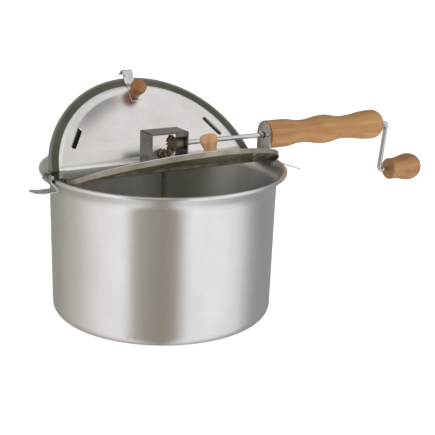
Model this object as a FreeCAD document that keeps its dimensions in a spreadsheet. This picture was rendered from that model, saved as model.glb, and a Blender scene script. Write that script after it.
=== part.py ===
import FreeCAD, Part
import math
import os
import re
import Sketcher

# Stove-top popcorn maker: a spun aluminium pot, a crossbar over its mouth with two hinged half
# lids, and a hand crank that turns a stirring wire through a pair of bevel gears.
# Millimetres. Origin: centre of the pot's base, on the surface it stands on. +X runs along the
# crossbar towards the handle, +Y towards the rear lid, +Z up.

DOC = FreeCAD.newDocument("popcorn_maker")
SHEET = DOC.addObject("Spreadsheet::Sheet", "Sizes")
V = FreeCAD.Vector
X_AXIS, Y_AXIS, Z_AXIS = V(1, 0, 0), V(0, 1, 0), V(0, 0, 1)

SIZES = {
    # pot
    "pot_height": 151.5, "pot_base_radius": 111.8, "pot_top_radius": 113.5, "pot_wall": 1.4,
    "pot_corner": 11, "flare_start": 134, "flare_radius": 13, "flare_angle": 39,
    "bead_radius": 2.1, "bead_centre_radius": 121.9,
    # crossbar and its hinges
    "bar_lift": 0.05, "bar_thick": 1.0, "hinge_offset": 16, "knuckle_radius": 2.0,
    "pin_radius": 0.9, "pin_gap": 0.05, "hinge_half_length": 114, "end_knuckle": 14,
    "mid_knuckle": 25, "knuckle_gap": 0.3, "edge_gap": 2.4, "bar_half_length": 122.2,
    "bar_end_width": 23.5,
    # lids
    "lid_radius": 116, "lid_sheet": 0.8, "lid_skirt": 3.9, "skirt_edge": 4,
    "panel_rise": 2.4, "panel_foot_radius": 106.5, "panel_top_radius": 103.4,
    "panel_foot_edge": 4.6, "panel_top_edge": 7.2, "panel_fillet": 1.5,
    "rear_lid_open": 50.5, "front_lid_open": 23.5,
    "slot_radius": 93, "slot_angle": 33, "slot_length": 26, "slot_width": 5.2,
    "louvre_depth": 8, "louvre_angle": 30, "louvre_root": 0.6,
    # lid knobs, latches and screws
    "knob_reach": 80.5, "knob_foot": 5.9, "knob_head": 8.1, "knob_height": 17,
    "knob_swell": 11.2, "knob_edge": 3.0, "knob_crown": 0.6,
    "latch_width": 11.5, "latch_thick": 0.6, "latch_tail": 9, "latch_drop_radius": 124.6,
    "latch_bend": 1.6, "latch_depth": 9.5, "latch_gap": 0.05, "latch_low_from": 2.2,
    "latch_low_to": 0.8, "latch_over_from": 3.4,
    "lid_screw_radius": 1.6, "lid_screw_head": 3.4, "lid_screw_depth": 11,
    "lid_screw_head_tall": 1.6, "screw_taper": 0.9,
    # gear housing and gears
    "housing_half": 21, "housing_width": 24, "housing_top": 186.5, "housing_thick": 1.5,
    "tab_width": 6, "tab_reach": 7, "axis_height": 172.2, "gear_teeth": 10,
    "gear_pitch_radius": 9, "gear_addendum": 1.35, "gear_dedendum": 1.95, "gear_toe": 0.56,
    "gear_backlash": 0.5, "pressure_angle": 22, "hub_radius": 6.2, "cross_pin_radius": 1.0,
    "hub_root": 1.3, "hub_shoulder": 1.2, "hub_cone": 1.8, "pin_inset": 3.4, "pin_short": 0.3,
    "gear_end_gap": 0.25, "stir_gear_phase": 0.5, "hole_gap": 0.03,
    # stirrer
    "shaft_radius": 2.5, "shaft_top": 165, "shaft_foot": 2.2, "running_gap": 0.06,
    "bush_radius": 3.8, "bush_flange": 6.2, "bush_flange_thick": 1.0, "retainer_radius": 5.0,
    "retainer_thick": 1.0, "groove_radius": 2.0, "wire_radius": 1.6, "wire_height": 4.4,
    "wire_reach": 97, "wire_upturn": 16, "wire_bend": 7, "wire_lean": 4, "retainer_drop": 2.5,
    "bush_tail": 1.2, "snug_gap": 0.02,
    # handle and its bracket
    "bracket_face": 121, "bracket_thick": 1.6, "bracket_width": 23.5, "bracket_above": 14.2,
    "bracket_foot": 24, "bracket_hole": 4.0, "handle_end": 276, "handle_screw_side": 7.5,
    "handle_screw_up": 1.0, "screw_radius": 1.5, "screw_head": 2.3, "screw_length": 16,
    "screw_head_tall": 1.3, "rivet_radius": 2.0, "rivet_head": 3.4, "rivet_head_tall": 1.1,
    "rivet_taper": 1.3, "rivet_side": 6, "grip_near_radius": 14.9, "grip_edge": 0.6,
    "swell_near": 142, "swell_near_radius": 14.8, "waist_near": 167, "waist_near_radius": 12.2,
    "swell_mid": 197, "swell_mid_radius": 15.5, "waist_far": 221, "waist_far_radius": 12.4,
    "swell_far": 262, "swell_far_radius": 16.1, "grip_end_from": 264, "grip_end_round": 13,
    "grip_end_radius": 8,
    # crank
    "crank_lean": 7, "crank_arm": 57.6, "crank_bend": 5, "crank_arm_at": 287.5,
    "crank_rod_start": 7.5, "crank_knob_near": 301.5, "crank_knob_far": 345.5,
    "crank_knob_small": 12.2, "crank_knob_big": 15.5, "crank_knob_corner": 1.2,
    "washer_radius": 4.5, "washer_thick": 1.0, "washer_sink": 7.6, "recess_gap": 0.2,
    "neck_depth": 0.6, "rod_end_sink": 5,
    # rim clips
    "clip_pivot_out": 124.4, "clip_pivot_height": 153.8, "clip_knuckle": 1.7,
    "clip_pin_radius": 0.8, "clip_width": 22, "clip_thick": 0.9, "clip_mid_knuckle": 5,
    "clip_tab_width": 15, "clip_leg_foot": 148.6, "clip_grip": 117.6,
    "clip_grip_height": 140.6, "clip_fold": 119.4, "clip_fold_height": 138.5,
    "clip_tab_from": 145.5, "long_tab_bow": 138, "long_tab_bow_height": 141.2,
    "long_tab_end": 168, "long_tab_end_height": 130.5, "short_tab_bow": 132,
    "short_tab_bow_height": 138.2, "short_tab_end": 143.2, "short_tab_end_height": 140.2,
}


def fill_sheet():
    """Write every driving dimension into the sheet as a plain number with an alias."""
    for row, (alias, value) in enumerate(SIZES.items(), start=1):
        SHEET.set("A%d" % row, alias)
        SHEET.set("B%d" % row, str(value))
        SHEET.setAlias("B%d" % row, alias)
    DOC.recompute()


def full(expression):
    """Point each alias in an expression at the sheet."""
    return re.sub(r"[a-z_]+", lambda m: "Sizes." + m.group() if m.group() in SIZES else m.group(),
                  str(expression))


def num(expression):
    """The present value of an expression in the sheet's aliases."""
    probe = DOC.getObject("Probe") or DOC.addObject("App::FeaturePython", "Probe")
    result = probe.evalExpression(full(expression))
    return float(getattr(result, "Value", result))


# ---- sketches and PartDesign features ----

def new_body(label):
    body = DOC.addObject("PartDesign::Body", label)
    body.Label = label
    return body


def new_sketch(body, plane, lift="0"):
    sketch = body.newObject("Sketcher::SketchObject", body.Name + "_sketch")
    origin = [item for item in body.Origin.OriginFeatures if item.Role == plane][0]
    sketch.AttachmentSupport = (origin, [""])
    sketch.MapMode = "FlatFace"
    sketch.setExpression("AttachmentOffset.Base.z", full(lift))
    return sketch


def bind_point(sketch, geometry, corner, x, y):
    """Hold one end of a line or arc at (x, y), each bound to its expression."""
    for kind, axis, expression in (("DistanceX", -2, x), ("DistanceY", -1, y)):
        value = num(expression)
        if abs(value) < 1e-9:
            sketch.addConstraint(Sketcher.Constraint("PointOnObject", geometry, corner, axis))
        else:
            index = sketch.addConstraint(Sketcher.Constraint(kind, geometry, corner, value))
            sketch.setExpression("Constraints[%d]" % index, full(expression))


def bind_radius(sketch, geometry, expression):
    index = sketch.addConstraint(Sketcher.Constraint("Radius", geometry, num(expression)))
    sketch.setExpression("Constraints[%d]" % index, full(expression))


def outline(sketch, points):
    """Closed outline. A point is (x, y), or (x, y, radius, side) where an arc starts that bulges
    to that side, +1 for the left of the way round and -1 for the right."""
    spots = [V(num(point[0]), num(point[1]), 0) for point in points]
    ends = []
    for index, point in enumerate(points):
        start, stop = spots[index], spots[(index + 1) % len(points)]
        if len(point) == 2:
            edge = Part.LineSegment(start, stop)
        else:
            half = (stop - start) * 0.5
            left = V(-half.y, half.x, 0).normalize()
            radius = num(point[2])
            rise = radius - math.sqrt(radius ** 2 - half.Length ** 2)
            edge = Part.Arc(start, start + half + left * (rise * point[3]), stop)
        geometry = sketch.addGeometry(edge, False)
        forward = sketch.getPoint(geometry, 1).distanceToPoint(start) < 1e-6
        ends.append((geometry, 1 if forward else 2, 2 if forward else 1))
    for index, point in enumerate(points):
        geometry, first, last = ends[index]
        following, next_first, _ = ends[(index + 1) % len(points)]
        sketch.addConstraint(Sketcher.Constraint("Coincident", geometry, last, following, next_first))
    for index, point in enumerate(points):
        bind_point(sketch, ends[index][0], ends[index][1], point[0], point[1])
        if len(point) > 2:
            bind_radius(sketch, ends[index][0], point[2])
    return sketch


def disc(sketch, x, y, radius):
    """A full circle whose centre and radius follow the sheet."""
    geometry = sketch.addGeometry(Part.Circle(V(num(x), num(y), 0), Z_AXIS, num(radius)), False)
    bind_point(sketch, geometry, 3, x, y)
    bind_radius(sketch, geometry, radius)
    return sketch


def bent_path(sketch, corners, bends):
    """Open path of straight runs through corners, rounded at each inner one by its bend."""
    spots = [V(num(x), num(y), 0) for x, y in corners]
    cut_back = [0.0]
    for index, bend in enumerate(bends, start=1):
        before = (spots[index - 1] - spots[index]).normalize()
        after = (spots[index + 1] - spots[index]).normalize()
        cut_back.append(num(bend) / math.tan(before.getAngle(after) / 2))
    cut_back.append(0.0)
    lines = []
    for index in range(len(spots) - 1):
        run = (spots[index + 1] - spots[index]).normalize()
        start = spots[index] + run * cut_back[index]
        stop = spots[index + 1] - run * cut_back[index + 1]
        lines.append(sketch.addGeometry(Part.LineSegment(start, stop), False))
    for index, bend in enumerate(bends):
        start, stop = sketch.getPoint(lines[index], 2), sketch.getPoint(lines[index + 1], 1)
        corner = spots[index + 1]
        inward = ((start + stop) * 0.5 - corner).normalize()
        reach = math.hypot(cut_back[index + 1], num(bend)) - num(bend)
        arc = sketch.addGeometry(Part.Arc(start, corner + inward * reach, stop), False)
        first = 1 if sketch.getPoint(arc, 1).distanceToPoint(start) < 1e-6 else 2
        point = sketch.addGeometry(Part.Point(corner), True)
        sketch.addConstraint(Sketcher.Constraint("Tangent", lines[index], 2, arc, first))
        sketch.addConstraint(Sketcher.Constraint("Tangent", arc, 3 - first, lines[index + 1], 1))
        sketch.addConstraint(Sketcher.Constraint("PointOnObject", point, 1, lines[index]))
        sketch.addConstraint(Sketcher.Constraint("PointOnObject", point, 1, lines[index + 1]))
        bind_point(sketch, point, 1, *corners[index + 1])
        bind_radius(sketch, arc, bend)
    bind_point(sketch, lines[0], 1, *corners[0])
    bind_point(sketch, lines[-1], 2, *corners[-1])
    return sketch


def feature(body, kind, profile, **settings):
    made = body.newObject("PartDesign::" + kind, body.Name + "_" + kind)
    made.Profile = profile
    for name, value in settings.items():
        setattr(made, name, value)
    return made


def pad(body, profile, length, both_ways=False):
    made = feature(body, "Pad", profile)
    made.setExpression("Length", full(length))
    made.Midplane = both_ways
    return made


def turn(body, profile, axis="H_Axis"):
    """Solid of revolution about an axis of the profile's own sketch."""
    return feature(body, "Revolution", profile, ReferenceAxis=(profile, [axis]), Angle=360)


def swept(body, profile, path):
    spine = [(path, ["Edge%d" % (index + 1)]) for index in range(len(path.Shape.Edges))]
    return feature(body, "AdditivePipe", profile, Spine=(path, [name for _, (name,) in spine]))


# ---- Part primitives ----

def primitive(kind, name, at=("0", "0", "0"), rotation=None, **sizes):
    made = DOC.addObject("Part::" + kind, name)
    for prop, expression in sizes.items():
        made.setExpression(prop, full(expression))
    if rotation:
        made.Placement.Rotation = FreeCAD.Rotation(*rotation)
    for letter, expression in zip("xyz", at):
        made.setExpression("Placement.Base." + letter, full(expression))
    return made


def box(name, x, y, z):
    """Box between (low, high) expressions on each axis."""
    return primitive("Box", name, at=(x[0], y[0], z[0]), Length="(%s) - (%s)" % (x[1], x[0]),
                     Width="(%s) - (%s)" % (y[1], y[0]), Height="(%s) - (%s)" % (z[1], z[0]))


def rod_x(name, x, y, z, radius):
    """Cylinder along X between two expressions."""
    return primitive("Cylinder", name, at=(x[0], y, z), rotation=(Y_AXIS, 90), Radius=radius,
                     Height="(%s) - (%s)" % (x[1], x[0]))


def rod_y(name, x, y, z, radius):
    return primitive("Cylinder", name, at=(x, y[0], z), rotation=(X_AXIS, -90), Radius=radius,
                     Height="(%s) - (%s)" % (y[1], y[0]))


def rod_z(name, x, y, z, radius):
    return primitive("Cylinder", name, at=(x, y, z[0]), Radius=radius,
                     Height="(%s) - (%s)" % (z[1], z[0]))


def joined(label, shapes):
    made = DOC.addObject("Part::MultiFuse", label)
    made.Label = label
    made.Shapes = shapes
    return made


def cut(label, base, tools):
    made = DOC.addObject("Part::Cut", label)
    made.Label = label
    made.Base = base
    made.Tool = tools[0] if len(tools) == 1 else joined(label + "_tools", tools)
    return made


def shared(label, first, second):
    made = DOC.addObject("Part::Common", label)
    made.Label = label
    made.Base = first
    made.Tool = second
    return made


def group(label, shapes):
    """Several like fasteners kept as separate solids in one node."""
    made = DOC.addObject("Part::Compound", label)
    made.Label = label
    made.Links = shapes
    return made


NODES = []


def node(item):
    NODES.append(item)
    return item


# ---- pot ----

def make_pot():
    """Spun pot: flat base, round corner, slight taper, flared mouth and a rolled bead."""
    body = new_body("pot")
    angle = "flare_angle * 1 deg"
    mid_top = "pot_top_radius - pot_wall / 2"
    flare_out = "(%s + flare_radius * (1 - cos(%s)))" % (mid_top, angle)
    flare_up = "(flare_start + flare_radius * sin(%s))" % angle
    half_x, half_y = "pot_wall / 2 * cos(%s)" % angle, "pot_wall / 2 * sin(%s)" % angle
    bead_up = "pot_height - bead_radius"
    reach = "(bead_centre_radius - bead_radius / 2 - %s)" % flare_out
    end_x, end_y = "%s + %s" % (flare_out, reach), "%s + %s / tan(%s)" % (flare_up, reach, angle)
    profile = outline(new_sketch(body, "XZ_Plane"), [
        ("0", "0"),
        ("pot_base_radius - pot_corner", "0", "pot_corner", -1),
        ("pot_base_radius", "pot_corner"),
        ("pot_top_radius", "flare_start", "flare_radius - pot_wall / 2", 1),
        ("%s + %s" % (flare_out, half_x), "%s - %s" % (flare_up, half_y)),
        ("%s + %s" % (end_x, half_x), "%s - %s" % (end_y, half_y)),
        ("%s - %s" % (end_x, half_x), "%s + %s" % (end_y, half_y)),
        ("%s - %s" % (flare_out, half_x), "%s + %s" % (flare_up, half_y),
         "flare_radius + pot_wall / 2", -1),
        ("pot_top_radius - pot_wall", "flare_start"),
        ("pot_base_radius - pot_wall", "pot_corner", "pot_corner - pot_wall", 1),
        ("pot_base_radius - pot_corner", "pot_wall"),
        ("0", "pot_wall"),
    ])
    turn(body, profile, "V_Axis")
    bead = primitive("Torus", "pot_bead", at=("0", "0", bead_up), Radius1="bead_centre_radius",
                     Radius2="bead_radius")
    body.Label = "pot_shell"
    node(joined("pot", [body, bead]))


# ---- crossbar ----

BAR_TOP = "pot_height + bar_lift + bar_thick"
HINGE_UP = "(pot_height + bar_lift + bar_thick - knuckle_radius)"


def hinge_rods(name, spans, y, z, radius):
    return [rod_x("%s_%d" % (name, index), span, y, z, radius) for index, span in enumerate(spans)]


def bar_spans():
    """Lengths of hinge that belong to the crossbar: two ends and the middle."""
    inner = "hinge_half_length - end_knuckle"
    return [("-hinge_half_length", "-(%s)" % inner), ("-mid_knuckle", "mid_knuckle"),
            (inner, "hinge_half_length")]


def lid_spans():
    """Lengths of hinge that belong to a lid, between the crossbar's."""
    outer = "hinge_half_length - end_knuckle - knuckle_gap"
    return [("-(%s)" % outer, "-(mid_knuckle + knuckle_gap)"),
            ("mid_knuckle + knuckle_gap", outer)]


def tab_boxes(name, grow):
    """The four tabs of the gear housing where they pass through the crossbar."""
    low, high = "housing_half - housing_thick - %s" % grow, "housing_half + %s" % grow
    boxes = []
    for side in (1, -1):
        for place in (1, -1):
            mid = "%d * (housing_width / 2 - tab_width / 2 - 1.5)" % place
            across = ("%s - tab_width / 2 - %s" % (mid, grow), "%s + tab_width / 2 + %s" % (mid, grow))
            along = (low, high) if side > 0 else ("-(%s)" % high, "-(%s)" % low)
            boxes.append(box("%s_%d%d" % (name, side + 1, place + 1), along, across,
                             ("pot_height - 4", BAR_TOP + " + 1")))
    return boxes


def make_crossbar():
    """Flat strip across the mouth with rolled hinge knuckles on both edges and a curled
    knuckle at each end for the rim clip."""
    low, top = "pot_height + bar_lift", BAR_TOP
    strip = box("bar_strip", ("-bar_half_length + 8", "bar_half_length - 8"),
                ("-hinge_offset", "hinge_offset"), (low, top))
    tongue = box("bar_tongue", ("-bar_half_length", "bar_half_length"),
                 ("-bar_end_width / 2", "bar_end_width / 2"), (low, top))
    neck = box("bar_neck", ("-clip_pivot_out", "clip_pivot_out"),
               ("-clip_mid_knuckle", "clip_mid_knuckle"), (low, top))
    solids, gaps = [strip, tongue, neck], []
    for side in (1, -1):
        y = "%d * hinge_offset" % side
        solids += hinge_rods("bar_knuckle_%d" % (side + 1), bar_spans(), y, HINGE_UP,
                             "knuckle_radius")
        gaps.append(rod_x("bar_bore_%d" % (side + 1), ("-bar_half_length", "bar_half_length"), y,
                          HINGE_UP, "pin_radius + pin_gap"))
        inner, outer = "hinge_offset - edge_gap", "hinge_offset + knuckle_radius + 1"
        across = (inner, outer) if side > 0 else ("-(%s)" % outer, "-(%s)" % inner)
        for index, span in enumerate(lid_spans()):
            grown = ("%s - knuckle_gap" % span[0], "%s + knuckle_gap" % span[1])
            gaps.append(box("bar_gap_%d%d" % (side + 1, index), grown, across,
                            ("pot_height - 5", BAR_TOP + " + 2")))
        x = "%d * clip_pivot_out" % side
        solids.append(rod_y("bar_end_curl_%d" % (side + 1), x,
                            ("-clip_mid_knuckle", "clip_mid_knuckle"), "clip_pivot_height",
                            "clip_knuckle"))
        gaps.append(rod_y("bar_end_bore_%d" % (side + 1), x, ("-clip_width", "clip_width"),
                          "clip_pivot_height", "clip_pin_radius + pin_gap"))
    gaps += tab_boxes("bar_slot", "0.1")
    gaps.append(rod_z("bar_bush_hole", "0", "0", (low + " - 1", top + " + 1"),
                      "bush_radius + hole_gap"))
    for place in (1, -1):
        gaps.append(rod_z("bar_rivet_hole_%d" % (place + 1), RIVET_X, "%d * rivet_side" % place,
                          (low + " - 1", top + " + 1"), "rivet_radius + hole_gap"))
    node(cut("crossbar", joined("bar_solid", solids), gaps))
    for side, label in ((1, "rear_hinge_pin"), (-1, "front_hinge_pin")):
        pin = rod_x(label, ("-hinge_half_length", "hinge_half_length"),
                    "%d * hinge_offset" % side, HINGE_UP, "pin_radius")
        node(pin)


RIVET_X = "(bracket_face - bracket_thick - bracket_foot / 2 - 2)"


# ---- lids: built with the hinge axis along X through the origin, closed, reaching to +Y ----

def half_disc(sketch, radius, edge):
    """Half disc about the pot's axis, cut straight at the given distance from the hinge."""
    across = "sqrt((%s) ^ 2 - (hinge_offset + %s) ^ 2)" % (radius, edge)
    return outline(sketch, [("-(%s)" % across, edge), (across, edge, radius, -1)])


def lid_sheet(name):
    """Pressed sheet: flat outer band and a raised panel with a round-edged riser."""
    body = new_body(name)
    bottom = "-knuckle_radius"
    top = "lid_sheet - knuckle_radius"
    pad(body, half_disc(new_sketch(body, "XY_Plane", bottom), "lid_radius", "0"), "lid_sheet")
    DOC.recompute()
    foot = half_disc(new_sketch(body, "XY_Plane", top), "panel_foot_radius", "panel_foot_edge")
    crown = half_disc(new_sketch(body, "XY_Plane", top + " + panel_rise"), "panel_top_radius",
                      "panel_top_edge")
    feature(body, "AdditiveLoft", foot, Sections=[crown], Ruled=True)
    DOC.recompute()
    crown_up = num(top + " + panel_rise")
    names = ["Edge%d" % (index + 1) for index, edge in enumerate(body.Shape.Edges)
             if all(abs(corner.Z - crown_up) < 1e-4 for corner in edge.Vertexes)]
    loft = body.Tip
    rounded = body.newObject("PartDesign::Fillet", name + "_round")
    rounded.Base = (loft, names)
    rounded.setExpression("Radius", full("panel_fillet"))
    DOC.recompute()
    hollow_foot = half_disc(new_sketch(body, "XY_Plane", bottom), "panel_foot_radius - lid_sheet",
                            "panel_foot_edge + lid_sheet")
    hollow_crown = half_disc(new_sketch(body, "XY_Plane", bottom + " + panel_rise"),
                             "panel_top_radius - lid_sheet", "panel_top_edge + lid_sheet")
    feature(body, "SubtractiveLoft", hollow_foot, Sections=[hollow_crown], Ruled=True)
    return body


def lid_skirt(name):
    """Rim of the lid turned down all round its arc, short of the hinge."""
    span = ("-knuckle_radius - lid_skirt", "lid_sheet - knuckle_radius")
    outer = rod_z(name + "_outer", "0", "-hinge_offset", span, "lid_radius")
    inner = rod_z(name + "_inner", "0", "-hinge_offset", (span[0] + " - 1", span[1] + " + 1"),
                  "lid_radius - lid_sheet")
    rest = box(name + "_rest", ("-2 * lid_radius", "2 * lid_radius"), ("-2 * lid_radius", "skirt_edge"),
               (span[0] + " - 1", span[1] + " + 1"))
    return cut(name, outer, [inner, rest])


def slot_frame(side):
    """Middle of a steam slot, level with the hinge line, and the heading of its length."""
    angle = num("slot_angle") if side > 0 else 180 - num("slot_angle")
    across = FreeCAD.Rotation(Z_AXIS, angle).multVec(V(num("slot_radius"), 0, 0))
    return across - V(0, num("hinge_offset"), 0), FreeCAD.Rotation(Z_AXIS, angle + 90)


def fixed(item, place):
    """Give a primitive a computed placement in the room of its own expressions."""
    for letter in "xyz":
        item.setExpression("Placement.Base." + letter, None)
    item.Placement = place
    return item


def slot_tools(name):
    """Two steam slots with round ends, one on each side of the panel."""
    tools = []
    straight = num("slot_length") - num("slot_width")
    for side in (1, -1):
        middle, heading = slot_frame(side)
        low = V(0, 0, -5)
        bar = primitive("Box", "%s_bar_%d" % (name, side + 1), Length="slot_length - slot_width",
                        Width="slot_width", Height="14")
        corner = heading.multVec(V(-straight / 2, -num("slot_width") / 2, 0))
        tools.append(fixed(bar, FreeCAD.Placement(middle + corner + low, heading)))
        for end in (1, -1):
            tip = primitive("Cylinder", "%s_end_%d%d" % (name, side + 1, end + 1),
                            Radius="slot_width / 2", Height="14")
            reach = heading.multVec(V(end * straight / 2, 0, 0))
            tools.append(fixed(tip, FreeCAD.Placement(middle + reach + low, FreeCAD.Rotation())))
    return tools


def louvres(name):
    """Sloping tongue under each steam slot, rooted in the sheet along the slot's outer edge."""
    tongues = []
    for side in (1, -1):
        middle, heading = slot_frame(side)
        slope = heading.multiply(FreeCAD.Rotation(X_AXIS, -num("louvre_angle")))
        root = heading.multVec(V(-num("slot_length") / 2, -num("slot_width / 2 + louvre_root"),
                                 num(PANEL_TOP + " - lid_sheet / 2")))
        sunk = slope.multVec(V(0, 0, -num("lid_sheet")))
        tongue = primitive("Box", "%s_%d" % (name, side + 1), Length="slot_length",
                           Width="louvre_depth", Height="lid_sheet")
        tongues.append(fixed(tongue, FreeCAD.Placement(middle + root + sunk, slope)))
    return tongues


def lid_placement(side):
    """Where a lid stands: on the rear or front hinge line, opened by its angle."""
    angle = num("rear_lid_open") if side > 0 else num("front_lid_open")
    facing = FreeCAD.Rotation(Z_AXIS, 0 if side > 0 else 180)
    return FreeCAD.Placement(V(0, side * num("hinge_offset"), num(HINGE_UP)),
                             facing.multiply(FreeCAD.Rotation(X_AXIS, angle)))


def on_lid(item, side):
    item.Placement = lid_placement(side)
    return node(item)


PANEL_TOP = "(lid_sheet - knuckle_radius + panel_rise)"


def make_lid(side, word):
    sheet = lid_sheet(word + "_lid_sheet")
    solids = [sheet, lid_skirt(word + "_lid_skirt")] + hinge_rods(
        word + "_lid_knuckle", lid_spans(), "0", "0", "knuckle_radius")
    gaps = [rod_x(word + "_lid_bore", ("-lid_radius", "lid_radius"), "0", "0",
                  "pin_radius + pin_gap")]
    outer = "hinge_half_length - end_knuckle - knuckle_gap"
    for index, span in enumerate([("-lid_radius", "-(%s)" % outer),
                                  ("-(mid_knuckle + knuckle_gap)", "mid_knuckle + knuckle_gap"),
                                  (outer, "lid_radius")]):
        gaps.append(box("%s_lid_gap_%d" % (word, index), span, ("-4", "edge_gap"), ("-8", "5")))
    gaps += slot_tools(word + "_lid_slot")
    gaps.append(rod_z(word + "_lid_hole", "0", "knob_reach", ("-5", "10"),
                      "lid_screw_radius + hole_gap"))
    pierced = cut(word + "_lid_pierced", joined(word + "_lid_solid", solids), gaps)
    on_lid(joined(word + "_lid", [pierced] + louvres(word + "_lid_louvre")), side)


def wave(points):
    """Smooth turned outline through high and low radii: between two of them, one arc out of
    the first and one into the second, meeting halfway."""
    steps = []
    for (x1, r1), (x2, r2) in zip(points, points[1:]):
        grows = num(r2) > num(r1)
        bend = "((%s - (%s)) ^ 2 + (%s - (%s)) ^ 2) / (4 * abs(%s - (%s)))" % (x2, x1, r2, r1, r2, r1)
        steps.append((x1, r1, bend, -1 if grows else 1))
        steps.append(("(%s + %s) / 2" % (x1, x2), "(%s + %s) / 2" % (r1, r2), bend,
                      1 if grows else -1))
    return steps


def make_lid_knob(side, word, foot):
    """Turned wooden knob: a narrow foot that swells to a round-edged head."""
    body = new_body(word + "_lid_knob_blank")
    swell = "((knob_swell - 1.5) ^ 2 + (knob_head - knob_foot) ^ 2) / (4 * (knob_head - knob_foot))"
    shoulder = "(knob_height - knob_crown - knob_edge)"
    crown = "((knob_head - knob_edge) ^ 2 + knob_crown ^ 2) / (2 * knob_crown)"
    profile = outline(new_sketch(body, "XZ_Plane"), [
        ("0", "0"), ("knob_foot", "0"), ("knob_foot", "1.5", swell, 1),
        ("(knob_foot + knob_head) / 2", "(knob_swell + 1.5) / 2", swell, -1),
        ("knob_head", "knob_swell"), ("knob_head", shoulder, "knob_edge", -1),
        ("knob_head - knob_edge", "knob_height - knob_crown", crown, -1),
        ("0", "knob_height")])
    turn(body, profile, "V_Axis")
    bore = rod_z(word + "_lid_knob_bore", "0", "0", ("-1", "lid_screw_depth + 0.5"),
                 "lid_screw_radius + hole_gap")
    knob = cut(word + "_lid_knob_turned", body, [bore])
    knob.Placement.Base = V(0, num("knob_reach"), num(foot))
    on_lid(group(word + "_lid_knob", [knob]), side)


def make_latch(side, word):
    """Spring strip held under the knob. It steps down to the lid's outer band, rises over the
    pot's bead and hooks down outside it."""
    body = new_body(word + "_lid_latch_strip")
    middle = PANEL_TOP + " + latch_thick / 2"
    low = "(lid_sheet - knuckle_radius + latch_gap + latch_thick / 2)"
    over = "(knuckle_radius - bar_lift - bar_thick + 2 * latch_gap + latch_thick / 2)"
    drop = "(latch_drop_radius - hinge_offset)"
    path = bent_path(new_sketch(body, "YZ_Plane"),
                     [("knob_reach - latch_tail", middle), ("knob_reach + knob_foot + 1", middle),
                      ("panel_foot_radius - hinge_offset + latch_low_from", low),
                      ("lid_radius - hinge_offset + latch_low_to", low),
                      ("lid_radius - hinge_offset + latch_over_from", over), (drop, over),
                      (drop, over + " - latch_depth")],
                     ["latch_bend"] * 5)
    profile_sketch = new_sketch(body, "XZ_Plane", "-(knob_reach - latch_tail)")
    profile = outline(profile_sketch, [
        ("-latch_width / 2", PANEL_TOP), ("latch_width / 2", PANEL_TOP),
        ("latch_width / 2", PANEL_TOP + " + latch_thick"),
        ("-latch_width / 2", PANEL_TOP + " + latch_thick")])
    DOC.recompute()
    swept(body, profile, path)
    hole = rod_z(word + "_lid_latch_hole", "0", "knob_reach", ("-5", "10"),
                 "lid_screw_radius + hole_gap")
    on_lid(cut(word + "_lid_latch", body, [hole]), side)


def make_lid_screw(side, word):
    """Screw from under the lid up into the knob."""
    under = PANEL_TOP + " - lid_sheet"
    shank = rod_z(word + "_lid_screw_shank", "0", "knob_reach", (under, under + " + lid_screw_depth"),
                  "lid_screw_radius")
    head = primitive("Cone", word + "_lid_screw_head",
                     at=("0", "knob_reach", under + " - lid_screw_head_tall"),
                     Radius1="lid_screw_head - screw_taper", Radius2="lid_screw_head",
                     Height="lid_screw_head_tall")
    on_lid(joined(word + "_lid_screw", [shank, head]), side)


# ---- gear housing and gears ----

def make_housing():
    """Inverted U strip over the gears; the crank rod runs in its right leg."""
    half, width = "housing_half", "housing_width / 2"
    outer = box("housing_outer", ("-" + half, half), ("-" + width, width), (BAR_TOP, "housing_top"))
    inner = box("housing_inner", ("-(housing_half - housing_thick)", "housing_half - housing_thick"),
                ("-" + width + " - 1", width + " + 1"),
                (BAR_TOP + " - 1", "housing_top - housing_thick"))
    shell = cut("housing_shell", outer, [inner])
    DOC.recompute()
    crests = [index + 1 for index, edge in enumerate(shell.Shape.Edges)
              if abs(edge.BoundBox.ZMin - num("housing_top")) < 1e-4
              and abs(abs(edge.BoundBox.XMin) - num(half)) < 1e-4 and edge.BoundBox.YLength > 1]
    rounded = DOC.addObject("Part::Fillet", "housing_rounded")
    rounded.Base = shell
    rounded.Edges = [(index, 1.2, 1.2) for index in crests]
    tabs = []
    for side in (1, -1):
        for place in (1, -1):
            mid = "%d * (housing_width / 2 - tab_width / 2 - 1.5)" % place
            across = (mid + " - tab_width / 2", mid + " + tab_width / 2")
            low, high = "housing_half - housing_thick", "housing_half"
            foot_low = "housing_half - tab_reach"
            under = "pot_height + bar_lift - 0.1"
            leg = (low, high) if side > 0 else ("-(%s)" % high, "-(%s)" % low)
            foot = (foot_low, high) if side > 0 else ("-(%s)" % high, "-(%s)" % foot_low)
            name = "housing_tab_%d%d" % (side + 1, place + 1)
            tabs.append(box(name, leg, across, (under + " - 1", BAR_TOP + " + 0.5")))
            tabs.append(box(name + "_fold", foot, across, (under + " - 1.2", under)))
    hole = rod_x("housing_hole", ("0", "housing_half + 2"), "0", "axis_height",
                 "shaft_radius + running_gap")
    node(cut("gear_housing", joined("housing_joined", [rounded] + tabs), [hole]))


def tooth_flank(steps):
    """One flank of a tooth on the developed back cone, as (radius, angle) from the tooth's
    middle line, root to tip: an involute of the equivalent spur gear."""
    pitch = num("gear_pitch_radius") * math.sqrt(2)
    base = pitch * math.cos(math.radians(num("pressure_angle")))
    root, tip = pitch - num("gear_dedendum"), pitch + num("gear_addendum")
    teeth = num("gear_teeth") * math.sqrt(2)
    half_thick = math.pi / (2 * teeth) - num("gear_backlash") / (2 * pitch)

    def spread(radius):
        roll = math.acos(min(1.0, base / max(radius, base)))
        return math.tan(roll) - roll

    flank = [(root, half_thick + spread(pitch) + 0.01)]
    start = max(base, root)
    for step in range(steps + 1):
        radius = start + (tip - start) * step / steps
        flank.append((radius, half_thick + spread(pitch) - spread(radius)))
    return flank


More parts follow.
